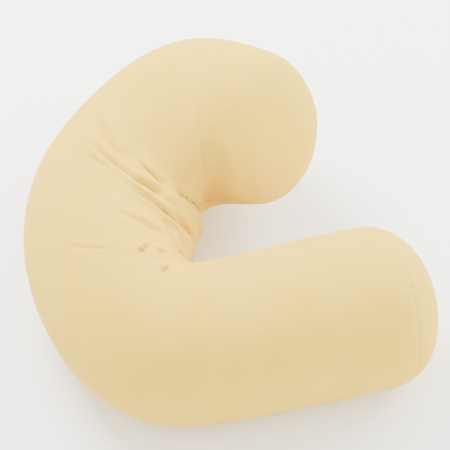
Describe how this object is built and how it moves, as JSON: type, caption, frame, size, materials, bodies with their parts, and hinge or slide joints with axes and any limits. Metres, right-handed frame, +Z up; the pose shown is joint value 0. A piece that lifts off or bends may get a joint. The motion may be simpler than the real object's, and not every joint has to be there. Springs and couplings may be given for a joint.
{
  "type": "body pillow",
  "caption": "Long stuffed tube of plain stretch cloth bent into a C, with rounded end panels and soft folds inside the bend.",
  "frame": {"origin": "under the middle of the pillow's box, on the surface it lies on", "axes": "+Z up from the surface. +X from the spine of the C towards its mouth. +Y from the lower arm, which lies flat, to the upper arm, which curls up."},
  "size_m": [0.8862, 0.9472, 0.4441],
  "materials": {
    "tube_cloth": "matte",
    "panel_cloth": "matte"
  },
  "bodies": {
    "root": {"pillow_body": "tube_cloth", "end_panel_lower": "panel_cloth", "end_panel_upper": "panel_cloth"}
  },
  "joints": []
}
